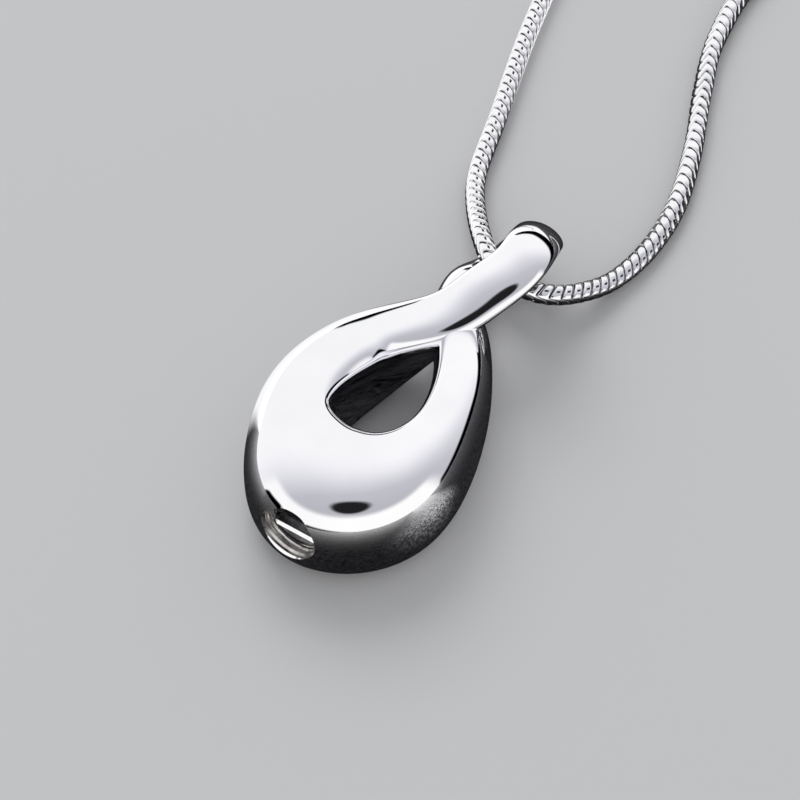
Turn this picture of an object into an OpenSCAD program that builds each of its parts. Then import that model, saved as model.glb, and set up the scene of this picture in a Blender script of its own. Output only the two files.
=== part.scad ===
// Loop urn pendant lying on its flat back, with its snake chain
//
// The pendant is one band of polished steel. It starts at the tip of the bail, runs down as the
// front strap, round the teardrop loop, and up under itself as the back strap to the same tip.
// A slotted plug closes the filler hole in the foot of the loop, and the chain runs through the
// bail and round to a barrel clasp.
//
// The frame has its origin on the resting plane, at the middle of the necklace. X runs across the
// pendant, Y from its foot to its bail and on to the clasp, and Z upwards. All sizes are in
// millimetres.

/* [Pendant] */
// Length of the pendant from its foot to the tip of its bail
pendant_l = 32.8; // [29:0.1:36.5]
// Width of the pendant across its loop
pendant_w = 16.6; // [14.5:0.1:18.5]
// Thickness of the loop at its foot
pendant_t = 9; // [8:0.1:10]

/* [Filler hole] */
// Bore of the filler hole
hole_d = 4.3; // [3.9:0.05:4.4]
// Diameter over the chamfer at the mouth of the hole
mouth_d = 4.6; // [4.5:0.05:4.7]
// Depth at which that chamfer has narrowed to the bore, measured from the foot of the loop
mouth_l = 0.6; // [0.55:0.05:0.65]
// Width of the chamfer round the lip of the hole
lip = 0.25; // [0.1:0.05:0.3]
// Height of the axis of the hole above the flat back
hole_z = 4.9; // [4.7:0.05:5.2]
// Place of the axis of the hole across the pendant
hole_x = 0.35; // [-0.3:0.05:0.7]
// Depth of the hole, measured from the foot of the loop
hole_depth = 7; // [6:0.1:7.3]
// Depth at which the thread starts, measured from the foot of the loop
thread_start = 0.65; // [0.65:0.05:1]
// Pitch of the thread
thread_pitch = 0.35; // [0.35:0.05:0.5]
// Depth of the thread
thread_h = 0.12; // [0.05:0.01:0.18]

/* [Filler screw] */
// Length of the plug
screw_l = 3.6; // [2.6:0.1:4]
// Depth of the face of the plug behind the foot of the loop
screw_recess = 1.15; // [1:0.05:1.6]
// Width of the screwdriver slot
slot_w = 1.4; // [0.7:0.05:1.5]
// Depth of the screwdriver slot
slot_depth = 0.6; // [0.5:0.05:0.9]
// Width of the bevel along the edges of the slot
slot_edge = 0.2; // [0.05:0.05:0.25]
// Angle at which the slot stands, against the horizontal
slot_angle = -7; // [-90:1:90]
// Running gap between the plug and the bore
screw_gap = 0.05; // [0.02:0.01:0.08]

/* [Chain] */
// Diameter of the chain
chain_d = 1.5; // [1.2:0.05:1.6]

/* [Clasp] */
// Outer diameter of the barrel
barrel_d = 3.4; // [3:0.1:3.6]
// Length of the barrel
barrel_l = 11; // [9:0.5:12]
// Outer diameter of the end caps
cap_d = 2.5; // [2.3:0.1:2.8]
// Length of an end cap without its neck
cap_l = 4.5; // [4:0.1:5.5]
// Diameter of the neck that joins an end cap to the barrel
neck_d = 1.5; // [1.2:0.1:1.8]
// Length of that neck
neck_l = 1.2; // [0.8:0.1:1.6]
// Gap between the pieces of the clasp
clasp_gap = 0.05; // [0.03:0.01:0.1]

/* [Hidden] */

// The band of the pendant, a row for each section, once round from the tip of the bail.
// The columns are the centre's x and y from the middle of the loop, the height of the underside
// and of the top, half the width, the angle of the width seen from above, and how square the
// section is on the side of the hole and on the outer side. At the tip the band stands upright.
X = 0;
Y = 1;
LOW = 2;
TOP = 3;
HALF = 4;
TURN = 5;
INNER = 6;
OUTER = 7;
BAND = [
    [-0.6, 22.2, 2.3, 5.3, 1.85, 0, 2.1, 2.1],
    [0.87, 19.94, 6.55, 8.5, 2, 12, 1.65, 1.9],
    [1.28, 17.14, 7.05, 8.95, 2.05, -11, 1.85, 2.3],
    [0.38, 14.58, 6.1, 8.2, 2.12, -19.5, 1.75, 2.5],
    [-0.95, 12.05, 4.6, 7.15, 2.14, -29, 2.1, 2.5],
    [-3.06, 9.44, 2, 7.2, 2.57, -43, 2.8, 2.1],
    [-4.72, 6.3, 0.2, 7.8, 2.9, -25, 3.2, 2.4],
    [-5.65, 1.9, 0, 8.3, 3.0, -3, 3.6, 2.5],
    [-4.8, -1.8, 0, 8.6, 3.1, 38, 4, 2.6],
    [-2.81, -4.02, 0, 8.75, 3.96, 63, 4, 2.7],
    [0.1, -4.98, 0, 8.8, 4.54, 90, 4, 2.7],
    [3.02, -3.77, 0, 8.7, 4.2, 124, 4, 2.7],
    [4.77, -1.08, 0, 8.5, 3.44, 156, 4, 2.7],
    [5.03, 2.3, 0, 8.2, 2.58, 182, 4, 2.7],
    [4.05, 5.7, 0, 7.7, 2.25, 203, 3.6, 2.9],
    [2.5, 8.8, 0, 7.2, 2.15, 214, 3.2, 2.9],
    [0.2, 11.9, 0, 5.7, 2.05, 217, 2.8, 2.6],
    [-2.2, 14.8, 0, 3.2, 1.95, 207, 1.9, 2.1],
    [-3.2, 17.8, 0, 2.5, 1.9, 183, 1.7, 2.1],
    [-2.3, 19.94, 0.1, 2.3, 1.85, 165, 1.8, 2.1]
];
ROWS = len(BAND);
// The row at the foot of the loop, where the two halves of the band meet
FOOT_ROW = ROWS / 2;
// Half the thickness of the band at the upright tip
TIP_HALF = 1.05;
// Height of the widest line of a section, as a share of its thickness
WAIST = 0.45;
// How much further down a section that rests is drawn, before its back is ground flat
GROUND = 1.12;
// Highest underside of a section whose back is ground flat
REST_LOW = 0.15;
// How square the sections are at most below their widest line
UNDER_POWER = 2.8;
// How far the highest line of a section lies towards its squarer side, as a share of half its
// width and for a difference of one in how square the two sides are
RIDGE = 0.3;
// Sections drawn between two rows, and corners of a section
ROW_STEPS = 4;
SIDES = 32;
// Share of the pendant's length that lies below the middle of the loop
FOOT_SHARE = 0.2905;
foot_y = -pendant_l * FOOT_SHARE;

// The middle line of the chain from the left end cap through the bail to the right one,
// as x and y from the middle of the loop and height
CHAIN = [
    [-7, 215, 1.7], [-11, 215, 1.7], [-20, 213.5, 1.2], [-34, 207, 0.75], [-46, 195, 0.75],
    [-54, 178, 0.75], [-57.2, 157, 0.75], [-55, 136, 0.75], [-48, 114, 0.75], [-38, 94, 0.75],
    [-28, 75, 0.75], [-20.5, 60, 0.75], [-16, 48, 0.75], [-13.2, 39, 0.75], [-10.7, 32, 0.75],
    [-8.9, 26.8, 0.85], [-7, 23.8, 1.5], [-4.2, 20.7, 2.9], [-2.1, 19.2, 3.15],
    [0.4, 18.7, 3.2], [2.5, 19.5, 2.8], [4, 21.6, 1.9], [5, 24.6, 0.95], [5.4, 28.5, 0.75],
    [4.8, 33, 0.75], [2.9, 38, 0.75], [0.4, 43, 0.75], [-1.6, 48, 0.75], [-2.5, 55, 0.75],
    [-0.8, 64, 0.75], [5, 75, 0.75], [15, 87, 0.75], [28, 101, 0.75], [41, 117, 0.75],
    [51.5, 136, 0.75], [57.2, 157, 0.75], [54.5, 178, 0.75], [46, 195, 0.75],
    [34, 207, 0.75], [20, 213.5, 1.2], [11, 215, 1.7], [7, 215, 1.7]
];
// Rings drawn between two points of the chain, and corners of a ring
CHAIN_STEPS = 2;
CHAIN_SIDES = 8;

// The clasp lies across the far end of the chain
CLASP_Y = CHAIN[0][Y];
CLASP_Z = barrel_d / 2;
// Depth of the socket in which an end of the chain is held
SOCKET_DEPTH = 3.2;
// Half the width of a grip groove, the distance between two, and how many each end has
RING_GROOVE = 0.25;
RING_PITCH = 1;
RINGS_EACH = 3;

// Size of the small chamfers, and how far a cutting tool reaches past a face
EDGE = 0.2;
REACH = 1;
// Place of the middle of the loop along Y, which puts the origin at the middle of the necklace
LOOP_Y = -(CLASP_Y + barrel_d / 2 + foot_y) / 2;

$fn = 48;

// Row i of the band. Past the last row it is the same section seen from its other side.
function band_row(i) =
    let (r = BAND[(i + ROWS) % ROWS],
        rests = r[LOW] <= REST_LOW,
        tip = (i + ROWS) % ROWS == 0,
        waist = tip ? (r[LOW] + r[TOP]) / 2 : r[LOW] + WAIST * (r[TOP] - r[LOW]),
        up = tip ? TIP_HALF : r[TOP] - waist,
        down = tip ? TIP_HALF : (waist - r[LOW]) * (rests ? GROUND : 1),
        over = floor(i / ROWS),
        first = over == 0)
    [r[X], r[Y], waist, r[HALF], first ? up : down, first ? down : up, r[TURN] + 180 * over,
        first ? r[INNER] : r[OUTER], first ? r[OUTER] : r[INNER]];
// The columns that band_row adds: height of the centre, half the width, thickness above and
// below the centre, angle of the width, and how square the two sides are
Z = 2;
WIDE = 3;
ABOVE = 4;
BELOW = 5;
ANGLE = 6;
NEAR_SIDE = 7;
FAR_SIDE = 8;

// Smooth curve through four neighbouring values, and its slope
function curve(a, b, c, d, t) =
    (2 * b + (c - a) * t + (2 * a - 5 * b + 4 * c - d) * t * t
        + (3 * b - a - 3 * c + d) * t * t * t) / 2;
function slope(a, b, c, d, t) =
    ((c - a) + 2 * (2 * a - 5 * b + 4 * c - d) * t + 3 * (3 * b - a - 3 * c + d) * t * t) / 2;
function unit(v) = v / norm(v);
function place(v) = [v[X], v[Y], v[Z]];

// Signed power, which squares or rounds the corners of a section
function square_off(v, power) = sign(v) * pow(abs(v), 2 / power);

// Corners of one section of the band, drawn step s of the way from row i to the next
function band_section(i, s) =
    let (a = band_row(i - 1),
        b = band_row(i),
        c = band_row(i + 1),
        d = band_row(i + 2),
        row = curve(a, b, c, d, s),
        along = unit(slope(place(a), place(b), place(c), place(d), s)),
        across = [cos(row[ANGLE]), sin(row[ANGLE]), 0],
        rise = unit(cross(along, across)))
    [for (k = [0:SIDES - 1])
        let (side = cos(360 * k / SIDES),
            lift = sin(360 * k / SIDES),
            edge = side > 0 ? row[NEAR_SIDE] : row[FAR_SIDE],
            power = lift < 0 ? min(edge, UNDER_POWER) : edge,
            ridge = lift > 0 ? RIDGE * (row[NEAR_SIDE] - row[FAR_SIDE]) : 0,
            share = ridge + (1 - sign(side) * ridge) * square_off(side, power),
            point = place(row) + row[WIDE] * share * across
                + (lift > 0 ? row[ABOVE] : row[BELOW]) * square_off(lift, power) * rise)
        [point[X], point[Y], max(point[Z], 0)]];

// A closed solid through a list of sections that all have the same number of corners
module skin(sections) {
    count = len(sections);
    corners = len(sections[0]);
    points = [for (section = sections) each section];
    ends = [[for (k = [0:corners - 1]) k],
        [for (k = [corners - 1:-1:0]) (count - 1) * corners + k]];
    walls = [for (i = [0:count - 2], k = [0:corners - 1])
        let (a = i * corners + k,
            b = i * corners + (k + 1) % corners)
        each [[a, a + corners, b + corners], [a, b + corners, b]]];
    polyhedron(points, concat(ends, walls), convexity = 8);
}

// The band from row first to row last
module band_part(first, last) {
    skin([for (i = [first:last - 1], s = [0:ROW_STEPS - 1]) band_section(i, s / ROW_STEPS),
        band_section(last, 0)]);
}

// Turns a solid that is drawn up the Z axis to lie along Y, pointing out of the filler hole
module out_of_hole(depth) {
    translate([hole_x, foot_y + depth, hole_z])
        rotate([90, 0, 0])
            children();
}

// A ring with a sharp outer edge, which cuts or stands for one turn of thread
module thread_turn(inner_d, height) {
    rotate_extrude()
        polygon([[inner_d / 2 - EDGE, -thread_pitch / 3], [inner_d / 2, -thread_pitch / 3],
            [inner_d / 2 + height, 0], [inner_d / 2, thread_pitch / 3],
            [inner_d / 2 - EDGE, thread_pitch / 3]]);
}

// A ring with a sharp inner edge, which cuts one turn of thread into a plug
module thread_groove(outer_d, height) {
    rotate_extrude()
        polygon([[outer_d / 2 - height, 0], [outer_d / 2, -thread_pitch / 3],
            [outer_d / 2 + EDGE, -thread_pitch / 3], [outer_d / 2 + EDGE, thread_pitch / 3],
            [outer_d / 2, thread_pitch / 3]]);
}

// What is cut out of the pendant for the plug: lip, chamfered mouth, bore and thread
module filler_hole() {
    flare = (mouth_d - hole_d) / 2;
    turns = floor((hole_depth - thread_start) / thread_pitch);
    out_of_hole(hole_depth)
        cylinder(h = hole_depth + REACH, d = hole_d);
    out_of_hole(mouth_l)
        cylinder(h = flare, d1 = hole_d, d2 = mouth_d);
    out_of_hole(mouth_l - flare)
        cylinder(h = mouth_l + REACH, d = mouth_d);
    out_of_hole(lip)
        cylinder(h = lip + REACH, d1 = mouth_d, d2 = mouth_d + 2 * (lip + REACH));
    for (i = [0:turns - 1])
        out_of_hole(thread_start + thread_pitch * (i + 0.5))
            thread_turn(hole_d, thread_h);
}

module pendant_body() {
    color("gainsboro")
        translate([0, LOOP_Y, 0])
            difference() {
                resize([pendant_w, pendant_l, pendant_t])
                    union() {
                        band_part(0, FOOT_ROW);
                        band_part(FOOT_ROW, ROWS);
                    }
                filler_hole();
            }
}

// What is cut across the face of the plug for a screwdriver: a slot with bevelled edges
module screw_slot(length) {
    half = slot_w / 2;
    wide = half + slot_edge + REACH;
    rotate([90, 0, 90])
        linear_extrude(length, center = true)
            polygon([[-half, 0], [half, 0], [half, slot_depth - slot_edge],
                [wide, slot_depth + REACH], [-wide, slot_depth + REACH],
                [-half, slot_depth - slot_edge]]);
}

module filler_screw() {
    plug_d = hole_d - 2 * screw_gap;
    turns = floor((screw_l - slot_depth - EDGE) / thread_pitch);
    color("silver")
        translate([0, LOOP_Y, 0])
            difference() {
                out_of_hole(screw_recess + screw_l) {
                    cylinder(h = EDGE, d1 = plug_d - 2 * EDGE, d2 = plug_d);
                    translate([0, 0, EDGE])
                        cylinder(h = screw_l - 2 * EDGE, d = plug_d);
                    translate([0, 0, screw_l - EDGE])
                        cylinder(h = EDGE, d1 = plug_d, d2 = plug_d - 2 * EDGE);
                }
                out_of_hole(screw_recess + slot_depth)
                    rotate([0, 0, -slot_angle])
                        screw_slot(2 * plug_d);
                for (i = [0:turns - 1])
                    out_of_hole(screw_recess + slot_depth + thread_pitch * (i + 0.5))
                        thread_groove(plug_d, thread_h);
            }
}

// Corners of one ring of the chain, drawn step s of the way from point i to the next
function chain_point(i) =
    i < 0 ? 2 * CHAIN[0] - CHAIN[1]
        : i >= len(CHAIN) ? 2 * CHAIN[len(CHAIN) - 1] - CHAIN[len(CHAIN) - 2] : CHAIN[i];
function chain_ring(i, s) =
    let (a = chain_point(i - 1),
        b = chain_point(i),
        c = chain_point(i + 1),
        d = chain_point(i + 2),
        along = unit(slope(a, b, c, d, s)),
        across = unit(cross(along, [0, 0, 1])),
        rise = cross(across, along),
        half = chain_d / 2)
    [for (k = [0:CHAIN_SIDES - 1])
        curve(a, b, c, d, s) + half * cos(360 * k / CHAIN_SIDES) * across
            + half * sin(360 * k / CHAIN_SIDES) * rise];

module snake_chain() {
    last = len(CHAIN) - 1;
    color("lightgray")
        translate([0, LOOP_Y, 0])
            skin([for (i = [0:last - 1], s = [0:CHAIN_STEPS - 1]) chain_ring(i, s / CHAIN_STEPS),
                chain_ring(last, 0)]);
}

// One end cap, drawn along X with its socket towards -X and its neck towards +X
module end_cap() {
    socket_d = chain_d + 2 * clasp_gap;
    rotate([0, 90, 0])
        rotate_extrude()
            polygon([[socket_d / 2, 0], [cap_d / 2 - EDGE, 0], [cap_d / 2, EDGE],
                [cap_d / 2, cap_l - 2 * EDGE], [cap_d / 2 - 2 * EDGE, cap_l], [neck_d / 2, cap_l],
                [neck_d / 2, cap_l + neck_l], [0, cap_l + neck_l], [0, SOCKET_DEPTH],
                [socket_d / 2, SOCKET_DEPTH]]);
}

module end_cap_left() {
    color("silver")
        translate([-barrel_l / 2 - clasp_gap - cap_l, LOOP_Y + CLASP_Y, CLASP_Z])
            end_cap();
}

module end_cap_right() {
    color("silver")
        translate([barrel_l / 2 + clasp_gap + cap_l, LOOP_Y + CLASP_Y, CLASP_Z])
            mirror([1, 0, 0])
                end_cap();
}

module clasp_barrel() {
    half = barrel_l / 2;
    socket_d = neck_d + 2 * clasp_gap;
    socket_l = neck_l + clasp_gap;
    color("silver")
        translate([0, LOOP_Y + CLASP_Y, CLASP_Z])
            rotate([0, 90, 0])
                difference() {
                    rotate_extrude()
                        polygon([[0, -half], [barrel_d / 2 - 2 * EDGE, -half],
                            [barrel_d / 2, -half + 2 * EDGE], [barrel_d / 2, half - 2 * EDGE],
                            [barrel_d / 2 - 2 * EDGE, half], [0, half]]);
                    for (end = [-1, 1]) {
                        translate([0, 0, end * half - socket_l])
                            cylinder(h = 2 * socket_l, d = socket_d);
                        for (i = [1:RINGS_EACH])
                            translate([0, 0, end * (half - i * RING_PITCH)])
                                rotate_extrude()
                                    polygon([[barrel_d / 2 - RING_GROOVE / 2, 0],
                                        [barrel_d / 2 + EDGE, -RING_GROOVE],
                                        [barrel_d / 2 + EDGE, RING_GROOVE]]);
                    }
                }
}

pendant_body();
filler_screw();
snake_chain();
end_cap_left();
end_cap_right();
clasp_barrel();
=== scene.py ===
"""Looks of the loop urn pendant on its snake chain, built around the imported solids.

Lengths are in millimetres here and become metres where a mesh, light or camera is made.
"""

import math

import bmesh
import bpy
import numpy as np
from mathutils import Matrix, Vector

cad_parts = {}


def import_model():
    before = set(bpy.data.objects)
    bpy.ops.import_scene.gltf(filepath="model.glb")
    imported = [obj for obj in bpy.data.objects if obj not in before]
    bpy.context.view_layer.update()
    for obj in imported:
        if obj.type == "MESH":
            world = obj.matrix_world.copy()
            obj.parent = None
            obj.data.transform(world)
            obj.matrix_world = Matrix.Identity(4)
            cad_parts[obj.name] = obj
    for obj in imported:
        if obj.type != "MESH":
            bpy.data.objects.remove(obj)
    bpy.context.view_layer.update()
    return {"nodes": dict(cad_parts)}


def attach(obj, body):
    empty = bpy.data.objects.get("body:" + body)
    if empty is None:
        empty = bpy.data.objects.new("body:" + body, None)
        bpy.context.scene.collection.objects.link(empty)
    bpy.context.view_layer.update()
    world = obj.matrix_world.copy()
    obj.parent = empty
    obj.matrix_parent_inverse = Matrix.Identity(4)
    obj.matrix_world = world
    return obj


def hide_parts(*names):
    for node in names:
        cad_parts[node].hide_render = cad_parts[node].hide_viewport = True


MM = 0.001

# The pendant, as in the part's source. Each row is a section of its band, once round from the
# tip of the bail: centre x and y from the middle of the loop, height of the underside and of the
# top, half the width, angle of the width in degrees, and how square the section is on the side
# of the hole and on the outer side.
X, Y, LOW, TOP, HALF, TURN, INNER, OUTER = range(8)
BAND = np.array([
    [-0.6, 22.2, 2.3, 5.3, 1.85, 0, 2.1, 2.1],
    [0.87, 19.94, 6.55, 8.5, 2, 12, 1.65, 1.9],
    [1.28, 17.14, 7.05, 8.95, 2.05, -11, 1.85, 2.3],
    [0.38, 14.58, 6.1, 8.2, 2.12, -19.5, 1.75, 2.5],
    [-0.95, 12.05, 4.6, 7.15, 2.14, -29, 2.1, 2.5],
    [-3.06, 9.44, 2, 7.2, 2.57, -43, 2.8, 2.1],
    [-4.72, 6.3, 0.2, 7.8, 2.9, -25, 3.2, 2.4],
    [-5.65, 1.9, 0, 8.3, 3.0, -3, 3.6, 2.5],
    [-4.8, -1.8, 0, 8.6, 3.1, 38, 4, 2.6],
    [-2.81, -4.02, 0, 8.75, 3.96, 63, 4, 2.7],
    [0.1, -4.98, 0, 8.8, 4.54, 90, 4, 2.7],
    [3.02, -3.77, 0, 8.7, 4.2, 124, 4, 2.7],
    [4.77, -1.08, 0, 8.5, 3.44, 156, 4, 2.7],
    [5.03, 2.3, 0, 8.2, 2.58, 182, 4, 2.7],
    [4.05, 5.7, 0, 7.7, 2.25, 203, 3.6, 2.9],
    [2.5, 8.8, 0, 7.2, 2.15, 214, 3.2, 2.9],
    [0.2, 11.9, 0, 5.7, 2.05, 217, 2.8, 2.6],
    [-2.2, 14.8, 0, 3.2, 1.95, 207, 1.9, 2.1],
    [-3.2, 17.8, 0, 2.5, 1.9, 183, 1.7, 2.1],
    [-2.3, 19.94, 0.1, 2.3, 1.85, 165, 1.8, 2.1],
])
ROWS = len(BAND)
FOOT_ROW = ROWS // 2
TIP_HALF = 1.05      # half the thickness of the band at the upright tip
WAIST = 0.45         # height of the widest line of a section, as a share of its thickness
GROUND = 1.12        # how much further down a resting section is drawn before it is ground flat
REST_LOW = 0.15      # highest underside of a section that is ground flat
UNDER_POWER = 2.8    # how square the sections are at most below their widest line
RIDGE = 0.3          # how far the highest line lies towards the squarer side, of half the width
BAND_STEPS = 24      # sections drawn between two rows, and corners of a section
BAND_SIDES = 144
PENDANT = (16.6, 32.8, 9.0)  # width, length and height
FOOT_SHARE = 0.2905  # share of the length that lies below the middle of the loop
FOOT_Y = -FOOT_SHARE * PENDANT[1]

# Filler hole, as in the part's source. Depths are counted from the foot of the pendant.
HOLE_X = 0.35
HOLE_Z = 4.9
HOLE_D = 4.3
HOLE_DEPTH = 7.0
MOUTH_D = 4.6
MOUTH_L = 0.6
LIP = 0.25           # width and depth of the bevel round the mouth
HOLE_SIDES = 96      # corners of a ring round the axis of the hole

# Thread of the hole and of the screw
PITCH = 0.35
THREAD = 0.12        # how far it stands out
THREAD_START = 0.65
THREAD_FLAT = 0.4    # how wide its crest is, and how steep its flanks are
THREAD_SLOPE = 3.4
TURN_RINGS = 12      # rings drawn for each turn

# Screw, as in the part's source
SCREW_L = 3.6
SCREW_RECESS = 1.15  # depth of its face in the hole
SCREW_GAP = 0.05     # clearance round it
SCREW_EDGE = 0.2     # bevel at its two ends
SLOT_W = 1.4
SLOT_DEPTH = 0.6
SLOT_EDGE = 0.2      # bevel along the slot
SLOT_ANGLE = -7      # of the slot, in degrees from level

REACH = 1            # how far a cutter stands out of what it cuts
NEAR = 0.01          # how far off a face may lie that still counts as part of a surface
SHARP = 35           # angle from which an edge of the pendant or the screw is sharp, in degrees

# Middle line of the chain from the left end cap through the bail to the right one, as x and y from
# the middle of the loop, and height
CHAIN = np.array([
    [-7, 215, 1.7], [-11, 215, 1.7], [-20, 213.5, 1.2], [-34, 207, 0.75], [-46, 195, 0.75],
    [-54, 178, 0.75], [-57.2, 157, 0.75], [-55, 136, 0.75], [-48, 114, 0.75], [-38, 94, 0.75],
    [-28, 75, 0.75], [-20.5, 60, 0.75], [-16, 48, 0.75], [-13.2, 39, 0.75], [-10.7, 32, 0.75],
    [-8.9, 26.8, 0.85], [-7, 23.8, 1.5], [-4.2, 20.7, 2.9], [-2.1, 19.2, 3.15],
    [0.4, 18.7, 3.2], [2.5, 19.5, 2.8], [4, 21.6, 1.9], [5, 24.6, 0.95], [5.4, 28.5, 0.75],
    [4.8, 33, 0.75], [2.9, 38, 0.75], [0.4, 43, 0.75], [-1.6, 48, 0.75], [-2.5, 55, 0.75],
    [-0.8, 64, 0.75], [5, 75, 0.75], [15, 87, 0.75], [28, 101, 0.75], [41, 117, 0.75],
    [51.5, 136, 0.75], [57.2, 157, 0.75], [54.5, 178, 0.75], [46, 195, 0.75],
    [34, 207, 0.75], [20, 213.5, 1.2], [11, 215, 1.7], [7, 215, 1.7],
], float)
BAIL_POINT = 19      # the point of the chain inside the bail
BARREL_D = 3.4

# One plate of the chain: place along the chain and radius of each corner of its section
PLATE_PITCH = 0.82
PLACE, RADIUS = range(2)
PLATE = np.array([
    [-0.35, 0.69], [-0.3, 0.73], [-0.14, 0.745], [0, 0.75], [0.14, 0.745], [0.3, 0.73],
    [0.35, 0.69], [0.35, 0.5], [-0.35, 0.5],
])
PLATE_SIDES = 28
PLATE_SQUARE = 2.7   # how square the plates are, and how wide across their flats
PLATE_FLAT = 0.96
PLATE_SHARP = 50     # angle from which an edge of a plate is sharp, in degrees
FLAT_AT = 32         # angle at which the flats face, in degrees
SLANT = 0.45         # how far the plates lean along the chain, on the face that is seen
SEAM = 1.3           # how abruptly the lean turns back at the two sides; 1 is at once
# Each slit is a shallow dimple whose faces are painted near-black, a painted reflection.
SLIT_SIDES = (2, 16)  # sides of a plate that have a slit, the corner that it lowers, and its depth
SLIT_CORNER = 3
SLIT = 0.06
CORE_D = 1.0
CORE_SIDES = 12
CHAIN_END = 0.8      # length at each end, in a socket of the clasp, that has no plates
CHAIN_STEPS = 24     # points of the route for each row

# Middle of the loop, from the middle of the whole necklace
LOOP_Y = -(CHAIN[0][Y] + BARREL_D / 2 + FOOT_Y) / 2

# How far the faces of the plates are turned from straight up: place along the chain and degrees
TWIST = np.array([
    [0, -41], [236, -41], [242, -15], [250, 5], [256, 20], [262, 48], [267, 80], [272, 60],
    [280, 10], [486, 10],
])

# The view: the point that it looks at, from the middle of the loop, and where the camera stands
AIM = (-0.4, 5.2, 3.7)
VIEW_AZIMUTH, VIEW_ELEVATION, VIEW_DISTANCE = 36, 56, 330
VIEW_PIXELS, VIEW_PIXELS_PER_MM = 800, 14
SENSOR = 36
CLIP_START = 10

# Ground. A pale floor is seen, and the steel mirrors a dark one a little below it. The dark one
# glows in patches, a painted sheen: each row is a direction, and how far from the middle of the
# loop the glow begins and is complete in that direction.
SQUARE = ((-1, -1), (1, -1), (1, 1), (-1, 1))
GROUND_HALF = 3000
FLOOR_DROP = 0.05
MIRRORED_DROP = 0.1
FLOOR_COLOUR = (0.62, 0.62, 0.625)
PAINTED_SHEEN_LEFT = [((0, 1, 0), (-3, 0.5)), ((-1, 0, 0), (9, 12))]
PAINTED_SHEEN_RIGHT = [((1, 0, 0), (8, 15)), ((0, 1, 0), (-9, 2.5)), ((0.3, -1, 0), (-2.5, 1.5))]
PAINTED_SHEEN_COLOUR = (0.95, 0.95, 0.96)
GRAIN = 0.35         # size of the grain in the patch on the right
GRAIN_NOISE = (0.4, 0.66)  # between which its noise lights up, and how bright it is there
GRAIN_LIGHT = (0.12, 0.8)

# Studio. The steel mirrors a dome that brightens towards the bright side, which lies behind on the
# left. It is dark close to the ground, with a bright wall above that in front, and it has a small
# dark opening high in front on the right. A pair of numbers is where a part of it begins and where
# it is complete.
DOME_RADIUS = 2800
DOME_SEGMENTS = (64, 32)
BRIGHT_SIDE = (-0.77, 0.64, 0)
FRONT_SIDE = (0.5, -0.87, 0)
SKY = [
    (0.0, (0.46, 0.46, 0.50)), (0.42, (0.55, 0.55, 0.60)), (0.55, (0.73, 0.73, 0.77)),
    (0.64, (0.88, 0.88, 0.91)), (0.72, (0.99, 0.99, 1.01)), (0.85, (1.06, 1.06, 1.06)),
]
DARK_RIM = (0.03, 0.13)
RIM_RISE = -0.2      # how much higher the dark rim ends in front and behind
# Where the dark rim ends lower: direction, how near to it, and by how much
RIM_GAPS = [
    ((-1, 0, 0), (0.7, 0.92), 0.6),
    ((0.99, 0.14, 0), (0.93, 0.99), 0.25),
    ((0.45, -0.89, 0), (0.5, 0.75), 0.2),
]
WALL_COLOUR = (1.06, 1.05, 1.04)
WALL_FRONT = (-0.05, 0.2)
WALL_TOP = (0.7, 0.52)
OPENING = (0.967, 0.986)
OPENING_SIDE = (0.332, -0.425, 0.842)
OPENING_LIGHT = 0.03  # how bright it is
SOFT_COLOUR = (0.98, 0.99, 1)
SOFT_LIGHT = 0.62
KEY_FROM = (-0.55, 0.35, 0.76)
KEY_DISTANCE = 1100
KEY_SIZE = 700
KEY_WATTS = 5

NOISE_RANGE = (0.3, 0.7)  # between which nearly all of the noise of a material lies
LATHE_SCALE = 0.9    # scale of the rings that the lathe left, which are 0.28 apart
LATHE_WAVER = 0.4


# Meshes

def add_piece(name, points, faces, material):
    """A smooth-shaded object from points in millimetres, measured from the middle of the loop."""
    mesh = bpy.data.meshes.new(name)
    mesh.from_pydata((np.asarray(points, float) + (0, LOOP_Y, 0)) * MM, [], faces)
    mesh.validate()
    mesh.shade_smooth()
    piece = bpy.data.objects.new(name, mesh)
    bpy.context.scene.collection.objects.link(piece)
    if material:
        mesh.materials.append(material)
    return piece


def grid_faces(rings, corners):
    """Quads between rings that follow each other, each with the same number of corners."""
    ring, corner = np.indices((rings - 1, corners))
    a = ring * corners + corner
    b = ring * corners + (corner + 1) % corners
    return np.stack([a, b, b + corners, a + corners], -1).reshape(-1, 4).tolist()


def tube(rings):
    """Points and faces of a closed solid through rings of points."""
    count, corners = rings.shape[:2]
    last = (count - 1) * corners
    ends = [list(range(corners))[::-1], list(range(last, last + corners))]
    return rings.reshape(-1, 3), grid_faces(count, corners) + ends


def combine(base, other, operation):
    """Joins another object to the base or cuts it out of it, and removes the other."""
    cut = base.modifiers.new("combine", "BOOLEAN")
    cut.object = other
    cut.operation = operation
    cut.solver = "MANIFOLD"
    done = bpy.data.meshes.new_from_object(
        base.evaluated_get(bpy.context.evaluated_depsgraph_get()))
    base.modifiers.remove(cut)
    base.data = done
    bpy.data.objects.remove(other)


# Pendant

def band_rows():
    """The rows twice round, with the underside up the second time, and without the even turn."""
    rests = BAND[:, LOW] <= REST_LOW
    thick = BAND[:, TOP] - BAND[:, LOW]
    waist = BAND[:, LOW] + WAIST * thick
    above = BAND[:, TOP] - waist
    below = WAIST * thick * np.where(rests, GROUND, 1)
    waist[0] = (BAND[0, LOW] + BAND[0, TOP]) / 2
    above[0] = below[0] = TIP_HALF
    turn = BAND[:, TURN] - 180 * np.arange(ROWS) / ROWS
    same = [BAND[:, X], BAND[:, Y], waist, BAND[:, HALF]]
    first = np.column_stack(same + [above, below, turn, BAND[:, INNER], BAND[:, OUTER]])
    second = np.column_stack(same + [below, above, turn, BAND[:, OUTER], BAND[:, INNER]])
    return np.vstack([first, second])


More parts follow.
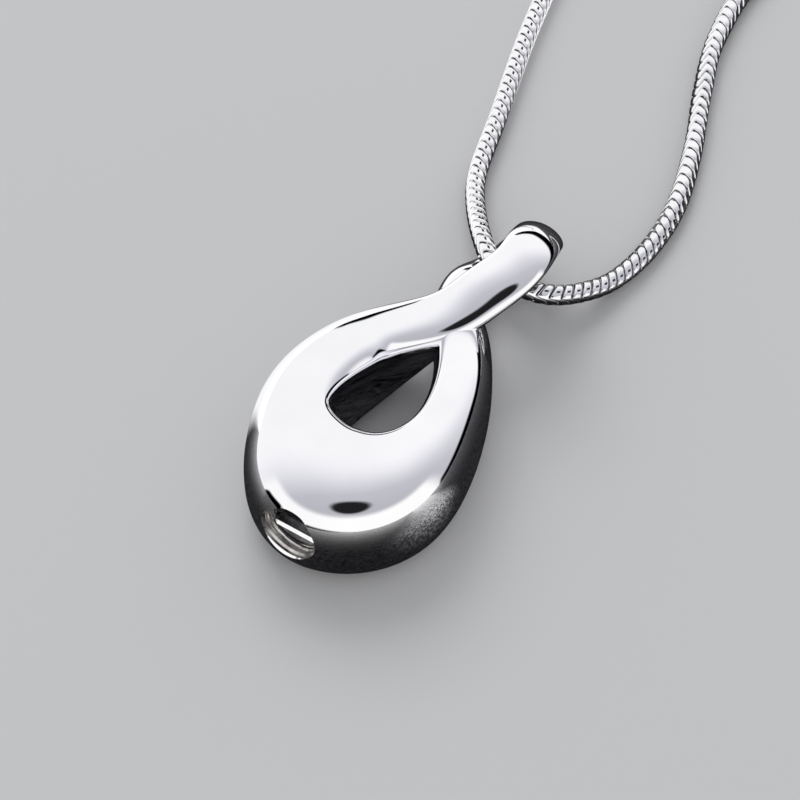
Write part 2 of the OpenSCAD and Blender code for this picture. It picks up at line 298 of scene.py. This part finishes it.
def smooth_loop(rows, places):
    """Values and slopes of the closed cubic spline through the rows, at places along it."""
    count = len(rows)
    one = np.eye(count)
    before, after = np.roll(one, -1, axis=1), np.roll(one, 1, axis=1)
    bends = np.linalg.solve(4 * one + before + after,
                            6 * (np.roll(rows, -1, axis=0) - 2 * rows + np.roll(rows, 1, axis=0)))
    start = np.floor(places).astype(int) % count
    end = (start + 1) % count
    t = (places - np.floor(places))[:, None]
    u = 1 - t
    value = (u * rows[start] + t * rows[end]
             + ((u ** 3 - u) * bends[start] + (t ** 3 - t) * bends[end]) / 6)
    slope = (rows[end] - rows[start]
             + ((1 - 3 * u ** 2) * bends[start] + (3 * t ** 2 - 1) * bends[end]) / 6)
    return value, slope


def unit(vectors):
    """The vectors at length 1."""
    return vectors / np.linalg.norm(vectors, axis=-1, keepdims=True)


def ring_angles(sides):
    """Angles of the corners of a ring."""
    return 2 * np.pi * np.arange(sides) / sides


def band_rings(first, last):
    """Sections of the band from row first to row last."""
    places = np.linspace(first, last, (last - first) * BAND_STEPS + 1)
    value, slope = smooth_loop(band_rows(), places)
    x, y, z, half, above, below, turn, near, far = value.T
    turn = np.radians(turn + 180 * places / ROWS)
    across = np.column_stack([np.cos(turn), np.sin(turn), 0 * turn])
    rise = unit(np.cross(unit(slope[:, :3]), across))
    angle = ring_angles(BAND_SIDES)
    side, lift = np.cos(angle), np.sin(angle)
    power = np.where(side > 0, near[:, None], far[:, None])
    power = np.where(lift < 0, np.minimum(power, UNDER_POWER), power)
    reach = (np.abs(side) ** power + np.abs(lift) ** power) ** (-1 / power)
    ridge = RIDGE * (near - far)[:, None]
    share = np.where(lift > 0, 1 - np.sign(side) * ridge, 1) * reach * side
    wide = half[:, None] * (share + np.where(lift > 0, ridge, 0))
    high = np.where(lift > 0, above[:, None], below[:, None]) * reach * lift
    centre = np.column_stack([x, y, z])
    return (centre[:, None] + wide[..., None] * across[:, None] + high[..., None] * rise[:, None])


def turned(radii, depths, thread):
    """Rings with a thread round the axis of the filler hole, at these depths."""
    angle = ring_angles(HOLE_SIDES)
    radius = radii[:, None] + thread(depths[:, None], angle)
    return np.stack([HOLE_X + radius * np.cos(angle),
                     np.repeat(FOOT_Y + depths[:, None], HOLE_SIDES, axis=1),
                     HOLE_Z + radius * np.sin(angle)], -1)


def thread_wave(start, end):
    """How far the thread stands out at a depth and angle. It runs out at both ends."""
    def wave(depth, angle):
        phase = (depth / PITCH + angle / (2 * np.pi)) % 1
        ridge = np.clip(1 + THREAD_FLAT - THREAD_SLOPE * np.abs(phase - 0.5), 0, 1)
        runout = np.clip(np.minimum(depth - start, end - depth) / PITCH, 0, 1)
        return THREAD * ridge * runout
    return wave


def thread_depths(start, end):
    """Depths of the rings that draw a thread from start to end."""
    return np.linspace(start, end, round((end - start) / PITCH * TURN_RINGS) + 1)


def hole_cutter():
    """What is cut out of the pendant for the plug: lip, chamfered mouth, bore and thread."""
    flare = (MOUTH_D - HOLE_D) / 2
    bore = np.concatenate([[MOUTH_L], thread_depths(THREAD_START, HOLE_DEPTH)])
    depths = np.concatenate([[-REACH, LIP, MOUTH_L - flare], bore])
    radii = np.concatenate([[MOUTH_D / 2 + LIP + REACH], [MOUTH_D / 2] * 2,
                            [HOLE_D / 2] * len(bore)])
    rings = turned(radii, depths, thread_wave(THREAD_START, HOLE_DEPTH))
    return add_piece("hole_cutter", *tube(rings[::-1]), None)


def ground_cutter():
    """Everything below the surface that the pendant lies on."""
    side = PENDANT[1]
    box = [[(x * side, y * side, z) for x, y in SQUARE] for z in (-side, 0)]
    return add_piece("ground_cutter", *tube(np.array(box)), None)


def finish_metal(piece, material, degrees=SHARP):
    """One material all over, and smooth shading but for edges sharper than this."""
    mesh = piece.data
    mesh.materials.clear()
    mesh.materials.append(material)
    mesh.shade_smooth()
    mesh.set_sharp_from_angle(angle=math.radians(degrees))


def declare(piece, node, body):
    """Hides the node that a piece stands for, and hangs the piece on the body that carries it."""
    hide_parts(node)
    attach(piece, body)


def line_faces(piece, material, chosen):
    """Gives the chosen faces of a piece a second material."""
    piece.data.materials.append(material)
    piece.data.polygons.foreach_set("material_index", chosen.astype(int))


def face_places(piece):
    """Middles of the faces of a piece, from the axis and the mouth of the filler hole."""
    middles = np.empty((len(piece.data.polygons), 3))
    piece.data.polygons.foreach_get("center", middles.ravel())
    return middles / MM - (HOLE_X, FOOT_Y + LOOP_Y, HOLE_Z)


def inside_hole(piece):
    """The faces that line the filler hole, inwards from its lip."""
    place = face_places(piece)
    normals = np.empty_like(place)
    piece.data.polygons.foreach_get("normal", normals.ravel())
    across = place[:, ::2]
    near_axis = np.linalg.norm(across, axis=1) < MOUTH_D / 2
    faces_axis = (across * normals[:, ::2]).sum(axis=1) < NEAR
    return near_axis & faces_axis & (place[:, Y] > LIP) & (place[:, Y] < HOLE_DEPTH + NEAR)


def slot_directions():
    """Along the slot of the screw and across it."""
    turn = math.radians(SLOT_ANGLE)
    return (np.array([math.cos(turn), 0, -math.sin(turn)]),
            np.array([math.sin(turn), 0, math.cos(turn)]))


def on_bevel(piece):
    """The faces of the bevels along the slot, which get a painted highlight."""
    place = face_places(piece)
    depth = place[:, Y] - SCREW_RECESS
    off_middle = np.abs(place @ slot_directions()[1])
    past_slot = (off_middle > SLOT_W / 2 + NEAR) & (off_middle < SLOT_W / 2 + SLOT_EDGE)
    return (depth > NEAR) & (depth < SLOT_EDGE) & past_slot


def add_pendant(material, hole_material):
    """Two halves of the band, joined at the tip and the foot, ground flat below and bored."""
    halves = [band_rings(0, FOOT_ROW), band_rings(FOOT_ROW, ROWS)]
    points = np.concatenate([half.reshape(-1, 3) for half in halves])
    size = points.max(axis=0) - points.min(axis=0) * (1, 1, 0)
    front, back = (add_piece(name, *tube(half * PENDANT / size), None)
                   for name, half in zip(("pendant", "back_half"), halves))
    combine(front, back, "UNION")
    combine(front, ground_cutter(), "DIFFERENCE")
    combine(front, hole_cutter(), "DIFFERENCE")
    finish_metal(front, material)
    line_faces(front, hole_material, inside_hole(front))
    declare(front, "pendant_body", "necklace")


def slot_cutter():
    """A slot across the face of the screw, with bevelled edges."""
    along, across = slot_directions()
    half, wide = SLOT_W / 2, SLOT_W / 2 + SLOT_EDGE + REACH
    profile = [(-half, SLOT_DEPTH), (half, SLOT_DEPTH), (half, SLOT_EDGE), (wide, -REACH),
               (-wide, -REACH), (-half, SLOT_EDGE)]
    face = np.array([HOLE_X, FOOT_Y + SCREW_RECESS, HOLE_Z])
    outline = np.array([face + side * across + (0, depth, 0) for side, depth in profile])
    ends = np.stack([outline - HOLE_D * along, outline + HOLE_D * along])
    return add_piece("slot_cutter", *tube(ends), None)


def add_screw(material, painted_highlight_material):
    """The slotted plug, threaded behind its slot."""
    radius = HOLE_D / 2 - SCREW_GAP
    tip = radius - SCREW_EDGE
    end = SCREW_RECESS + SCREW_L
    start = SCREW_RECESS + SLOT_DEPTH
    shank = thread_depths(start, end - SCREW_EDGE)
    depths = np.concatenate([[SCREW_RECESS, SCREW_RECESS + SCREW_EDGE], shank, [end]])
    radii = np.concatenate([[tip], [radius] * (len(shank) + 1), [tip]])
    thread = thread_wave(start, end - SCREW_EDGE)
    rings = turned(radii, depths, lambda depth, angle: -thread(depth, angle))
    plug = add_piece("screw_plug", *tube(rings[::-1]), None)
    combine(plug, slot_cutter(), "DIFFERENCE")
    finish_metal(plug, material)
    # The bevels get bright steel on the dark screw, a painted highlight.
    line_faces(plug, painted_highlight_material, on_bevel(plug))
    declare(plug, "filler_screw", "screw")


# Chain

def chain_route():
    """Points of the chain's middle line, and how far along the chain each of them is."""
    guide = np.vstack([2 * CHAIN[0] - CHAIN[1], CHAIN, 2 * CHAIN[-1] - CHAIN[-2]])[:, None]
    a, b, c, d = (guide[i:len(guide) - 3 + i] for i in range(4))
    t = np.linspace(0, 1, CHAIN_STEPS, endpoint=False)[None, :, None]
    points = (2 * b + (c - a) * t + (2 * a - 5 * b + 4 * c - d) * t ** 2
              + (3 * b - a - 3 * c + d) * t ** 3) / 2
    points = np.vstack([points.reshape(-1, 3), CHAIN[-1]])
    lengths = np.linalg.norm(np.diff(points, axis=0), axis=1)
    return points, np.concatenate([[0], np.cumsum(lengths)])


def around_route(points, distance, place, radius, angle):
    """Points at a distance along the chain, and round it from its upper side."""
    def at(values):
        return np.stack([np.interp(place, distance, column) for column in values.T], -1)
    along = unit(np.gradient(points, distance, axis=0))
    across = unit(np.cross(along, (0, 0, 1)))
    rise = np.cross(across, along)
    return (at(points) + (radius * np.sin(angle))[..., None] * at(across)
            + (radius * np.cos(angle))[..., None] * at(rise))


def plate_turn(place):
    """How far the plates are turned round the chain at a distance along it, in radians."""
    return np.radians(np.interp(place, *TWIST.T))


def add_plates(name, points, distance, middles, material, painted_reflection_material):
    """The wavy plates of the chain with their middles at these distances along it."""
    corners = len(PLATE)
    shape = (len(middles), corners, PLATE_SIDES)
    angle = ring_angles(PLATE_SIDES)
    lean = -SLANT * np.arctan2(np.sin(2 * angle), SEAM + np.cos(2 * angle))
    place = middles[:, None, None] + PLATE[None, :, PLACE, None] + lean
    flat = angle - math.radians(FLAT_AT)
    square = (np.abs(np.cos(flat)) ** PLATE_SQUARE
              + np.abs(np.sin(flat)) ** PLATE_SQUARE) ** (-1 / PLATE_SQUARE)
    radius = PLATE[:, RADIUS:] * square * PLATE_FLAT
    # Faces in the slits are painted near-black, a painted reflection of the dark opening of the
    # studio.
    dark = np.zeros(shape, bool)
    for slit in SLIT_SIDES:
        radius[SLIT_CORNER, slit:slit + 2] -= SLIT
        dark[:, SLIT_CORNER - 1:SLIT_CORNER + 1, slit] = True
    turn = plate_turn(middles)[:, None, None]
    cloud = around_route(points, distance, place, np.broadcast_to(radius, shape),
                         np.broadcast_to(angle + turn, shape))
    plate, corner, side = np.indices(shape)

    def index(corner, side):
        return (plate * corners + corner % corners) * PLATE_SIDES + side % PLATE_SIDES

    faces = np.stack([index(corner, side), index(corner, side + 1),
                      index(corner + 1, side + 1), index(corner + 1, side)], -1)
    piece = add_piece(name, cloud.reshape(-1, 3), faces.reshape(-1, 4).tolist(), None)
    finish_metal(piece, material, PLATE_SHARP)
    line_faces(piece, painted_reflection_material, dark.ravel())
    declare(piece, "snake_chain", "necklace")


def add_chain(steel, painted_dark_steel):
    """The plates on both sides of the bail, and the core that they stand on."""
    points, distance = chain_route()
    bail = distance[BAIL_POINT * (len(points) - 1) // (len(CHAIN) - 1)]
    count = round((distance[-1] - 2 * CHAIN_END) / PLATE_PITCH)
    edges = np.linspace(CHAIN_END, distance[-1] - CHAIN_END, count + 1)
    middles = (edges[1:] + edges[:-1]) / 2
    add_plates("chain_left", points, distance, middles[middles < bail], steel, painted_dark_steel)
    add_plates("chain_right", points, distance, middles[middles >= bail], steel, painted_dark_steel)
    place = np.linspace(0, distance[-1], count)[:, None]
    shape = (count, CORE_SIDES)
    rings = around_route(points, distance, np.repeat(place, CORE_SIDES, axis=1),
                         np.full(shape, CORE_D / 2),
                         np.broadcast_to(-ring_angles(CORE_SIDES), shape))
    # The core is painted near-black, as shade inside the chain that shows in the gaps between the
    # plates.
    core = add_piece("chain_core", *tube(rings), painted_dark_steel)
    declare(core, "snake_chain", "necklace")


# Materials

def new_material(name, colour, roughness, metallic=1):
    """A material of about this colour, its shader, and the object's coordinates in metres."""
    material = bpy.data.materials.new(name)
    material.use_nodes = True
    nodes = material.node_tree.nodes
    shader = nodes["Principled BSDF"]
    shader.inputs["Base Color"].default_value = (*colour, 1)
    shader.inputs["Metallic"].default_value = metallic
    shader.inputs["Roughness"].default_value = roughness
    place = nodes.new("ShaderNodeTexCoord").outputs["Object"]
    return material, shader, place


def noise(material, place, size, detail=3, stretch=(1, 1, 1)):
    """Noise whose spots are about this many millimetres across."""
    tree = material.node_tree
    mapping = tree.nodes.new("ShaderNodeMapping")
    mapping.inputs["Scale"].default_value = stretch
    texture = tree.nodes.new("ShaderNodeTexNoise")
    texture.inputs["Scale"].default_value = 1 / (size * MM)
    texture.inputs["Detail"].default_value = detail
    tree.links.new(place, mapping.inputs["Vector"])
    tree.links.new(mapping.outputs["Vector"], texture.inputs["Vector"])
    return texture.outputs["Fac"]


def ramp(material, value, stops, socket):
    """Colours the value by a ramp and links it to a socket of the shader."""
    tree = material.node_tree
    node = tree.nodes.new("ShaderNodeValToRGB")
    elements = node.color_ramp.elements
    while len(elements) < len(stops):
        elements.new(0.5)
    for element, (position, colour) in zip(elements, stops):
        element.position = position
        element.color = (*colour, 1)
    tree.links.new(value, node.inputs["Fac"])
    tree.links.new(node.outputs["Color"], socket)
    return node


def spread(tree, value, low, high, bottom=0, top=1, smooth="SMOOTHSTEP"):
    """Maps a value between low and high to one between bottom and top."""
    node = tree.nodes.new("ShaderNodeMapRange")
    node.interpolation_type = smooth
    node.inputs["From Min"].default_value = low
    node.inputs["From Max"].default_value = high
    node.inputs["To Min"].default_value = bottom
    node.inputs["To Max"].default_value = top
    tree.links.new(value, node.inputs["Value"])
    return node.outputs["Result"]


def span(material, value, low, high, socket):
    """Spreads noise between two values and links it to a socket of the shader."""
    tree = material.node_tree
    tree.links.new(spread(tree, value, *NOISE_RANGE, low, high, "LINEAR"), socket)


def bump(material, height, shader, depth):
    """Relief of a depth in millimetres, on top of any that the shader already has."""
    tree = material.node_tree
    node = tree.nodes.new("ShaderNodeBump")
    node.inputs["Strength"].default_value = 1
    node.inputs["Distance"].default_value = depth * MM
    tree.links.new(height, node.inputs["Height"])
    if shader.inputs["Normal"].is_linked:
        tree.links.new(shader.inputs["Normal"].links[0].from_socket, node.inputs["Normal"])
    tree.links.new(node.outputs["Normal"], shader.inputs["Normal"])


def polished_steel():
    """The pendant: a mirror polish with faint waves, and marks along it from the wheel."""
    material, shader, place = new_material("mirror_polished_steel", (0.93, 0.93, 0.95), 0.04)
    ramp(material, noise(material, place, 6), [
        (0.35, (0.90, 0.90, 0.925)), (0.65, (0.95, 0.95, 0.965))], shader.inputs["Base Color"])
    span(material, noise(material, place, 1.5, detail=5), 0.025, 0.06, shader.inputs["Roughness"])
    bump(material, noise(material, place, 2.5, detail=1), shader, depth=0.002)
    marks = noise(material, place, 0.12, detail=4, stretch=(1, 0.08, 1))
    bump(material, marks, shader, depth=0.0001)
    return material


def bored_steel():
    """The inside of the filler hole, which is left as the drill and the tap cut it."""
    material, shader, place = new_material("bored_steel", (0.65, 0.63, 0.61), 0.27)
    ramp(material, noise(material, place, 0.8), [
        (0.3, (0.48, 0.46, 0.44)), (0.7, (0.82, 0.80, 0.78))], shader.inputs["Base Color"])
    span(material, noise(material, place, 0.5, detail=4), 0.18, 0.36, shader.inputs["Roughness"])
    marks = noise(material, place, 0.12, detail=4, stretch=(0.2, 1, 0.2))
    bump(material, marks, shader, depth=0.004)
    return material


def painted_highlight_steel():
    """The bevels of the slot, in bright steel beside the darkened screw: a painted highlight."""
    material, shader, place = new_material("painted_highlight_steel", (0.95, 0.95, 0.95), 0.18)
    ramp(material, noise(material, place, 0.5), [
        (0.3, (0.9, 0.9, 0.91)), (0.7, (0.99, 0.99, 0.99))], shader.inputs["Base Color"])
    span(material, noise(material, place, 0.4), 0.12, 0.25, shader.inputs["Roughness"])
    marks = noise(material, place, 0.1, detail=4, stretch=(0.1, 1, 1))
    bump(material, marks, shader, depth=0.002)
    return material


def turned_painted_shade_steel():
    """The screw, with the rings that the lathe leaves round its axis, and a base colour far darker
    than steel: painted shade on the plug in its recess.
    """
    material, shader, place = new_material("turned_painted_shade_steel", (0.28, 0.28, 0.29), 0.16)
    tree = material.node_tree
    mapping = tree.nodes.new("ShaderNodeMapping")
    mapping.inputs["Location"].default_value = (-HOLE_X * MM, 0, -HOLE_Z * MM)
    tree.links.new(place, mapping.inputs["Vector"])
    wave = tree.nodes.new("ShaderNodeTexWave")
    wave.wave_type = "RINGS"
    wave.rings_direction = "Y"
    wave.inputs["Scale"].default_value = 1 / (LATHE_SCALE * MM)
    wave.inputs["Distortion"].default_value = LATHE_WAVER
    tree.links.new(mapping.outputs["Vector"], wave.inputs["Vector"])
    bump(material, wave.outputs["Fac"], shader, depth=0.004)
    bump(material, noise(material, place, 0.15, detail=4), shader, depth=0.003)
    span(material, noise(material, place, 0.8, detail=4), 0.1, 0.22, shader.inputs["Roughness"])
    # Base colour well below that of steel: painted shade on the recessed screw.
    ramp(material, noise(material, place, 0.7), [
        (0.3, (0.2, 0.2, 0.21)), (0.7, (0.36, 0.36, 0.37))], shader.inputs["Base Color"])
    return material


def chain_steel():
    """The plates of the chain, polished and a little worn."""
    material, shader, place = new_material("chain_steel", (0.93, 0.93, 0.94), 0.08)
    ramp(material, noise(material, place, 1.2), [
        (0.3, (0.89, 0.89, 0.91)), (0.7, (0.97, 0.97, 0.98))], shader.inputs["Base Color"])
    span(material, noise(material, place, 0.4, detail=4), 0.04, 0.13, shader.inputs["Roughness"])
    bump(material, noise(material, place, 0.25, detail=2), shader, depth=0.004)
    return material


def painted_shade_reflection_steel():
    """Near-black steel: painted shade on the core inside the chain, which shows between the
    plates, and a painted reflection on the slits of the plates.
    """
    material, shader, place = new_material("painted_shade_reflection_steel", (0.05, 0.05, 0.055), 0.5)
    ramp(material, noise(material, place, 0.5), [
        (0.3, (0.03, 0.03, 0.033)), (0.7, (0.09, 0.09, 0.095))], shader.inputs["Base Color"])
    span(material, noise(material, place, 0.3), 0.4, 0.6, shader.inputs["Roughness"])
    return material


def clasp_steel():
    """The end caps and the barrel, with fine marks along them."""
    material, shader, place = new_material("clasp_steel", (0.88, 0.88, 0.9), 0.13)
    ramp(material, noise(material, place, 2), [
        (0.3, (0.82, 0.82, 0.84)), (0.7, (0.92, 0.92, 0.93))], shader.inputs["Base Color"])
    span(material, noise(material, place, 0.6, detail=5), 0.07, 0.2, shader.inputs["Roughness"])
    marks = noise(material, place, 0.15, detail=4, stretch=(0.1, 1, 1))
    bump(material, marks, shader, depth=0.002)
    return material


# Camera, floor and light

def view_direction():
    """From the pendant towards the camera."""
    azimuth, elevation = math.radians(VIEW_AZIMUTH), math.radians(VIEW_ELEVATION)
    return Vector((math.sin(azimuth) * math.cos(elevation),
                   -math.cos(azimuth) * math.cos(elevation), math.sin(elevation)))


def add_camera():
    """The view of the photograph, from above in front on the right."""
    camera = bpy.data.objects.new("camera", bpy.data.cameras.new("camera"))
    bpy.context.scene.collection.objects.link(camera)
    back = view_direction()
    aim = Vector((AIM[0], AIM[1] + LOOP_Y, AIM[2])) * MM
    camera.location = aim + back * VIEW_DISTANCE * MM
    camera.rotation_mode = "QUATERNION"
    camera.rotation_quaternion = back.to_track_quat("Z", "Y")
    camera.data.sensor_width = SENSOR
    camera.data.lens = SENSOR * VIEW_PIXELS_PER_MM * VIEW_DISTANCE / VIEW_PIXELS
    camera.data.clip_start = CLIP_START * MM
    bpy.context.scene.camera = camera


def add_ground(name, drop, material):
    """A square of ground, this many millimetres below the surface that the necklace lies on."""
    mesh = bpy.data.meshes.new(name)
    half = GROUND_HALF * MM
    corners = [(x * half, y * half, -drop * MM) for x, y in SQUARE]
    mesh.from_pydata(corners, [], [(0, 1, 2, 3)])
    mesh.materials.append(material)
    ground = bpy.data.objects.new(name, mesh)
    bpy.context.scene.collection.objects.link(ground)
    return ground


def add_floor():
    """The pale floor, which doesn't show in the steel."""
    pale = new_material("pale_floor", FLOOR_COLOUR, 0.8, metallic=0)[0]
    add_ground("floor", FLOOR_DROP, pale).visible_glossy = False


def add_mirrored_ground():
    """The dark ground, which only shows in the steel, with a painted sheen that glows on either
    side.
    """
    material, shader, place = new_material("dark_ground", (0.015, 0.015, 0.017), 0.25, metallic=0)
    shader.inputs["Specular IOR Level"].default_value = 0.2
    ramp(material, noise(material, place, 0.5), [
        (0.35, (0.002, 0.002, 0.003)), (0.7, (0.03, 0.03, 0.033))], shader.inputs["Base Color"])
    tree = material.node_tree
    grain = spread(tree, noise(material, place, GRAIN), *GRAIN_NOISE, *GRAIN_LIGHT)
    right = math_node(tree, "MULTIPLY", painted_sheen_patch(tree, place, PAINTED_SHEEN_RIGHT), grain)
    lit = math_node(tree, "ADD", painted_sheen_patch(tree, place, PAINTED_SHEEN_LEFT), right)
    # The ground glows in these patches, a painted sheen.
    shader.inputs["Emission Color"].default_value = (*PAINTED_SHEEN_COLOUR, 1)
    tree.links.new(lit, shader.inputs["Emission Strength"])
    bump(material, noise(material, place, 0.6), shader, depth=0.2)
    mirror_only(add_ground("mirrored_ground", MIRRORED_DROP, material))


def painted_sheen_patch(tree, place, edges):
    """How bright a painted sheen on the ground glows, from 0 outside its edges to 1 inside."""
    inside = [spread(tree, dot(tree, place, direction),
                     *((edge + direction[Y] * LOOP_Y) * MM for edge in width))
              for direction, width in edges]
    bright = inside[0]
    for other in inside[1:]:
        bright = math_node(tree, "MULTIPLY", bright, other)
    return bright


def mirror_only(piece):
    """Lets a piece show in the steel and nowhere else."""
    piece.visible_camera = False
    piece.visible_diffuse = False
    piece.visible_shadow = False
    piece.visible_transmission = False


def dot(tree, vector, direction):
    """How far a vector points in a direction."""
    node = tree.nodes.new("ShaderNodeVectorMath")
    node.operation = "DOT_PRODUCT"
    node.inputs[1].default_value = direction
    tree.links.new(vector, node.inputs[0])
    return node.outputs["Value"]


def math_node(tree, operation, first, second):
    """The sum or the product of two values."""
    node = tree.nodes.new("ShaderNodeMath")
    node.operation = operation
    tree.links.new(first, node.inputs[0])
    tree.links.new(second, node.inputs[1])
    return node.outputs["Value"]


def colour_dome(material, place, height, socket):
    """Colours the dome by how near it is to the bright side, with the bright wall in front."""
    tree = material.node_tree
    wall = tree.nodes.new("ShaderNodeMix")
    wall.data_type = "RGBA"
    wall.inputs["B"].default_value = (*WALL_COLOUR, 1)
    side = spread(tree, dot(tree, place, BRIGHT_SIDE), -1, 1, smooth="LINEAR")
    sky = ramp(material, side, SKY, wall.inputs["A"])
    sky.color_ramp.interpolation = "B_SPLINE"
    front = spread(tree, dot(tree, place, FRONT_SIDE), *WALL_FRONT)
    low = spread(tree, height, *WALL_TOP)
    tree.links.new(math_node(tree, "MULTIPLY", front, low), wall.inputs["Factor"])
    tree.links.new(wall.outputs["Result"], socket)


def dome_light(tree, place, height):
    """How bright the dome is, from 0 in its dark rim to 1 above it, and dark in its opening."""
    ahead = dot(tree, place, (0, 1, 0))
    lift = spread(tree, math_node(tree, "MULTIPLY", ahead, ahead), 0, 1, 0, RIM_RISE, "LINEAR")
    for direction, near, lower in RIM_GAPS:
        gap = spread(tree, dot(tree, place, direction), *near, 0, lower)
        lift = math_node(tree, "ADD", lift, gap)
    rim = spread(tree, math_node(tree, "ADD", height, lift), *DARK_RIM)
    opening = spread(tree, dot(tree, place, OPENING_SIDE), *OPENING, 1, OPENING_LIGHT)
    return math_node(tree, "MULTIPLY", opening, rim)


def dome_material():
    """The studio as it shows in the steel, by direction from the middle of the necklace."""
    material = bpy.data.materials.new("studio_dome")
    material.use_nodes = True
    tree = material.node_tree
    tree.nodes.clear()
    normal = tree.nodes.new("ShaderNodeVectorMath")
    normal.operation = "NORMALIZE"
    texture = tree.nodes.new("ShaderNodeTexCoord")
    tree.links.new(texture.outputs["Object"], normal.inputs[0])
    place = normal.outputs["Vector"]
    height = dot(tree, place, (0, 0, 1))
    glow = tree.nodes.new("ShaderNodeEmission")
    colour_dome(material, place, height, glow.inputs["Color"])
    tree.links.new(dome_light(tree, place, height), glow.inputs["Strength"])
    output = tree.nodes.new("ShaderNodeOutputMaterial")
    tree.links.new(glow.outputs["Emission"], output.inputs["Surface"])
    material.cycles.emission_sampling = "NONE"
    return material


def add_dome():
    """The studio that the steel mirrors, on a dome round the whole scene."""
    around, up = DOME_SEGMENTS
    shell = bmesh.new()
    bmesh.ops.create_uvsphere(shell, u_segments=around, v_segments=up, radius=DOME_RADIUS * MM)
    mesh = bpy.data.meshes.new("dome")
    shell.to_mesh(mesh)
    shell.free()
    mesh.materials.append(dome_material())
    dome = bpy.data.objects.new("dome", mesh)
    bpy.context.scene.collection.objects.link(dome)
    mirror_only(dome)


def add_soft_light():
    """Even light from all round, which doesn't show in the steel."""
    world = bpy.data.worlds.new("studio")
    bpy.context.scene.world = world
    world.use_nodes = True
    light = world.node_tree.nodes["Background"]
    light.inputs["Color"].default_value = (*SOFT_COLOUR, 1)
    light.inputs["Strength"].default_value = SOFT_LIGHT
    world.cycles_visibility.glossy = False


def add_key_light():
    """A large soft lamp behind on the left, which gives the soft shadow."""
    light = bpy.data.lights.new("key", "AREA")
    light.energy = KEY_WATTS
    light.size = KEY_SIZE * MM
    key = bpy.data.objects.new("key", light)
    bpy.context.scene.collection.objects.link(key)
    away = Vector(KEY_FROM).normalized()
    key.location = away * KEY_DISTANCE * MM
    key.rotation_mode = "QUATERNION"
    key.rotation_quaternion = away.to_track_quat("Z", "Y")
    key.visible_camera = False
    key.visible_glossy = False


def main():
    """The camera, the necklace and the studio."""
    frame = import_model()
    add_camera()
    add_pendant(polished_steel(), bored_steel())
    add_screw(turned_painted_shade_steel(), painted_highlight_steel())
    add_chain(chain_steel(), painted_shade_reflection_steel())
    clasp = clasp_steel()
    for node in ("end_cap_left", "end_cap_right", "clasp_barrel"):
        frame["nodes"][node].material_slots[0].material = clasp
    add_floor()
    add_mirrored_ground()
    add_dome()
    add_soft_light()
    add_key_light()
    bpy.context.scene.view_settings.view_transform = "Standard"


main()
